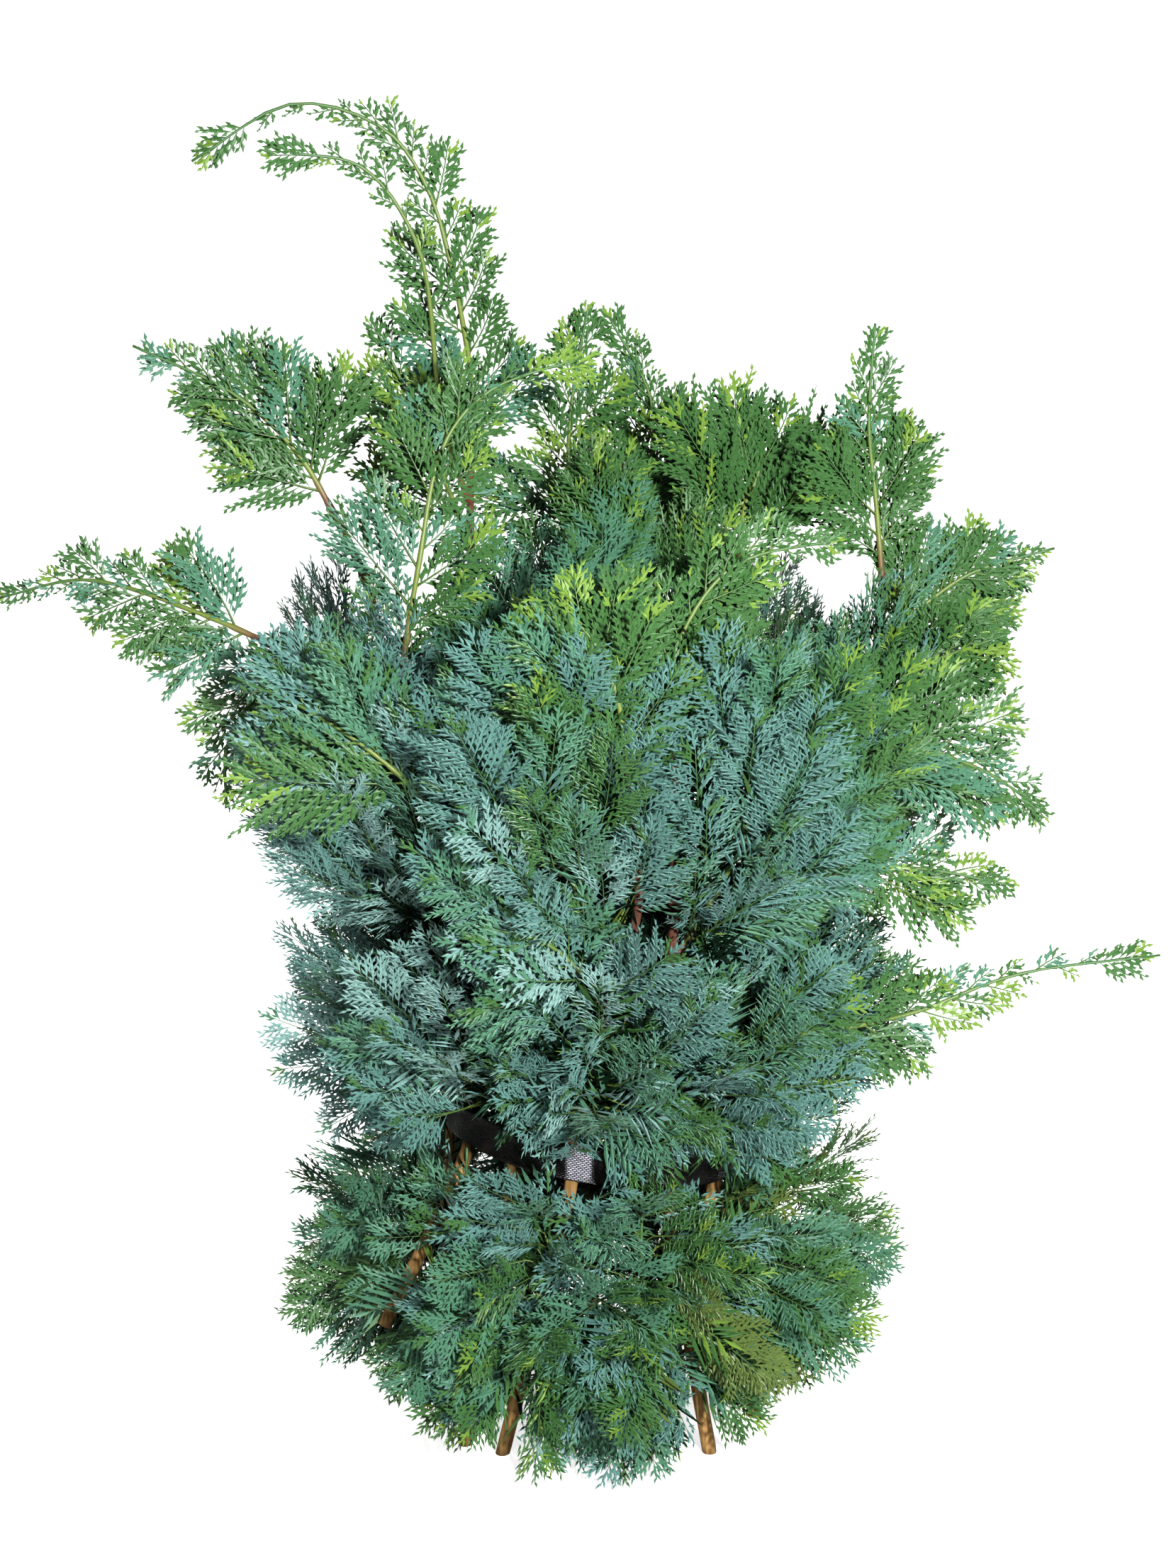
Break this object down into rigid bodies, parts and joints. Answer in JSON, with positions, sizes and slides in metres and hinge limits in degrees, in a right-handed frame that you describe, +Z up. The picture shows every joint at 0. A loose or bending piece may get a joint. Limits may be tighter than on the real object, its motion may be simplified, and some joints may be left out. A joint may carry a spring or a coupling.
{
  "type": "cut cypress sheaf",
  "caption": "Standing sheaf of cut blue-green Lawson cypress branches: fern-like sprays over a skirt of sprays and splayed stems, tied at the waist with dark webbing.",
  "frame": {"origin": "centre of the flat cut under the middle stem, on the ground", "axes": "+Z up along the sheaf, the front of the picture faces -Y, +X to the right seen from the front"},
  "size_m": [0.7276, 0.4624, 0.834],
  "materials": {
    "bark": "rough tan-brown bark with pale cut ends",
    "young_bark": "smooth red-brown young bark",
    "webbing": "glossy black woven nylon webbing",
    "foliage_blue": "blue-green scale leaves with a waxy bloom",
    "foliage_green": "deep green scale leaves",
    "foliage_lime": "lime-green young scale leaves"
  },
  "bodies": {
    "root": {"bough_far_left": "young_bark", "foliage_back_arm": "foliage_blue", "foliage_back_top": "foliage_green", "foliage_centre_left": "foliage_green", "foliage_far_left": "foliage_green", "foliage_far_left_low": "foliage_lime", "foliage_front_centre": "foliage_lime", "foliage_front_left": "foliage_blue", "foliage_front_mid": "foliage_blue", "foliage_front_right": "foliage_lime", "foliage_heart": "foliage_green", "foliage_leader_arch": "foliage_lime", "foliage_leader_low": "foliage_green", "foliage_leader_tip": "foliage_lime", "foliage_low_1": "foliage_blue", "foliage_low_2": "foliage_blue", "foliage_low_3": "foliage_blue", "foliage_low_4": "foliage_blue", "foliage_low_5": "foliage_blue", "foliage_low_6": "foliage_blue", "foliage_low_7": "foliage_blue", "foliage_low_8": "foliage_blue", "foliage_mid_1": "foliage_blue", "foliage_mid_2": "foliage_blue", "foliage_mid_3": "foliage_blue", "foliage_mid_4": "foliage_blue", "foliage_mid_5": "foliage_blue", "foliage_mid_6": "foliage_blue", "foliage_mid_7": "foliage_blue", "foliage_right_leader": "foliage_blue", "foliage_right_low": "foliage_lime", "foliage_right_low_mid": "foliage_green", "foliage_right_mid": "foliage_green", "foliage_right_plume": "foliage_green", "foliage_right_upper": "foliage_green", "foliage_skirt_1": "foliage_green", "foliage_skirt_2": "foliage_green", "foliage_skirt_3": "foliage_green", "foliage_skirt_4": "foliage_green", "foliage_skirt_5": "foliage_green", "foliage_skirt_6": "foliage_green", "foliage_skirt_7": "foliage_green", "foliage_skirt_8": "foliage_green", "foliage_top_centre": "foliage_green", "foliage_top_centre_right": "foliage_green", "foliage_top_right": "foliage_green", "foliage_upper_left": "foliage_green", "stem_back": "bark", "stem_back_left": "bark", "stem_centre": "bark", "stem_front": "bark", "stem_front_left": "bark", "stem_front_right": "bark", "stem_left": "bark", "stem_left_front": "bark", "stem_right": "bark", "stem_right_back": "bark", "stem_right_front": "bark", "strap": "webbing"}
  },
  "joints": []
}
